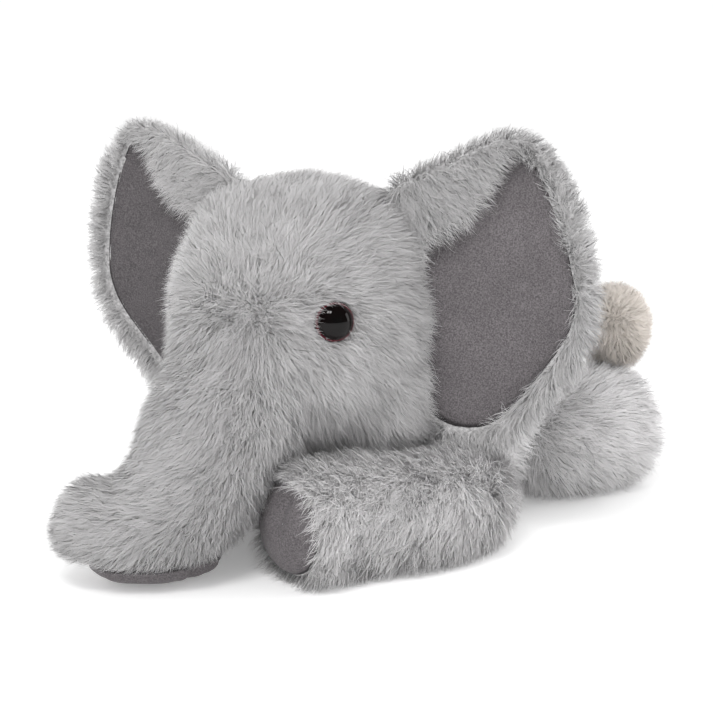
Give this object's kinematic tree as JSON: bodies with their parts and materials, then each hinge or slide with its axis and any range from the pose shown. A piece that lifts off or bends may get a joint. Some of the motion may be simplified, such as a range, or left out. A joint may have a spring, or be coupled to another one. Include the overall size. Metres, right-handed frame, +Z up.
{
  "type": "stuffed elephant",
  "caption": "Long-pile stuffed elephant lying on its belly, with suede-lined ears, padded soles, safety eyes, a forward trunk and a tufted tail.",
  "frame": {"origin": "on the floor, under the middle of the toy as it lies", "axes": "+Z up, -Y the way the elephant faces, +X its left side"},
  "size_m": [0.2178, 0.2489, 0.1558],
  "materials": {
    "grey_fur": "long soft pile",
    "cream_fur": "long soft pile",
    "grey_suede": "short-napped suede cloth",
    "stuffing": "loose polyester fibre",
    "eye_plastic": "glossy",
    "washer_plastic": "moulded"
  },
  "bodies": {
    "body": {"body_cover": "grey_fur", "body_stuffing": "stuffing"},
    "head": {"head_cover": "grey_fur", "head_stuffing": "stuffing", "left_eye": "eye_plastic", "left_eye_washer": "washer_plastic", "right_eye": "eye_plastic", "right_eye_washer": "washer_plastic"},
    "trunk": {"trunk_cover": "grey_fur", "trunk_lining": "grey_suede", "trunk_stuffing": "stuffing"},
    "left_ear": {"left_ear_back": "grey_fur", "left_ear_lining": "grey_suede"},
    "right_ear": {"right_ear_back": "grey_fur", "right_ear_lining": "grey_suede"},
    "tail": {"tail_cover": "grey_fur", "tail_tuft": "cream_fur"},
    "left_foreleg": {"left_foreleg_cover": "grey_fur", "left_foreleg_stuffing": "stuffing", "left_foreleg_sole": "grey_suede"},
    "right_foreleg": {"right_foreleg_cover": "grey_fur", "right_foreleg_stuffing": "stuffing", "right_foreleg_sole": "grey_suede"},
    "left_hind_leg": {"left_hind_leg_cover": "grey_fur", "left_hind_leg_stuffing": "stuffing", "left_hind_leg_sole": "grey_suede"},
    "right_hind_leg": {"right_hind_leg_cover": "grey_fur", "right_hind_leg_stuffing": "stuffing", "right_hind_leg_sole": "grey_suede"}
  },
  "joints": [
    {"name": "head_nod", "type": "hinge", "parent": "body", "child": "head", "pos_m": [0.0027, 0.0145, 0.058], "axis": [-1, 0, 0], "range_deg": [0, 15], "stiffness_Nm_per_rad": 0.6},
    {"name": "trunk_lift", "type": "hinge", "parent": "head", "child": "trunk", "pos_m": [0.0017, -0.0535, 0.074], "axis": [-1, 0, 0], "range_deg": [0, 22], "stiffness_Nm_per_rad": 0.15},
    {"name": "left_ear_flap", "type": "hinge", "parent": "head", "child": "left_ear", "pos_m": [0.0487, -0.0115, 0.09], "axis": [0, 0, 1], "range_deg": [-10, 10], "stiffness_Nm_per_rad": 0.03},
    {"name": "right_ear_flap", "type": "hinge", "parent": "head", "child": "right_ear", "pos_m": [-0.0453, -0.0115, 0.09], "axis": [0, 0, -1], "range_deg": [-10, 10], "stiffness_Nm_per_rad": 0.03},
    {"name": "left_foreleg_splay", "type": "hinge", "parent": "body", "child": "left_foreleg", "pos_m": [0.0587, 0.0005, 0.019], "axis": [0, 0, 1], "range_deg": [0, 20], "stiffness_Nm_per_rad": 0.1},
    {"name": "right_foreleg_splay", "type": "hinge", "parent": "body", "child": "right_foreleg", "pos_m": [-0.0553, 0.0095, 0.019], "axis": [0, 0, -1], "range_deg": [0, 20], "stiffness_Nm_per_rad": 0.1},
    {"name": "left_hind_leg_swing", "type": "hinge", "parent": "body", "child": "left_hind_leg", "pos_m": [0.0517, 0.0685, 0.027], "axis": [0, 0, 1], "range_deg": [-18, 8], "stiffness_Nm_per_rad": 0.1},
    {"name": "right_hind_leg_swing", "type": "hinge", "parent": "body", "child": "right_hind_leg", "pos_m": [-0.0303, 0.0685, 0.027], "axis": [0, 0, -1], "range_deg": [-18, 8], "stiffness_Nm_per_rad": 0.1},
    {"name": "tail_swing", "type": "hinge", "parent": "body", "child": "tail", "pos_m": [0.0197, 0.0975, 0.055], "axis": [0, 0, 1], "range_deg": [0, 80], "stiffness_Nm_per_rad": 0.005}
  ]
}
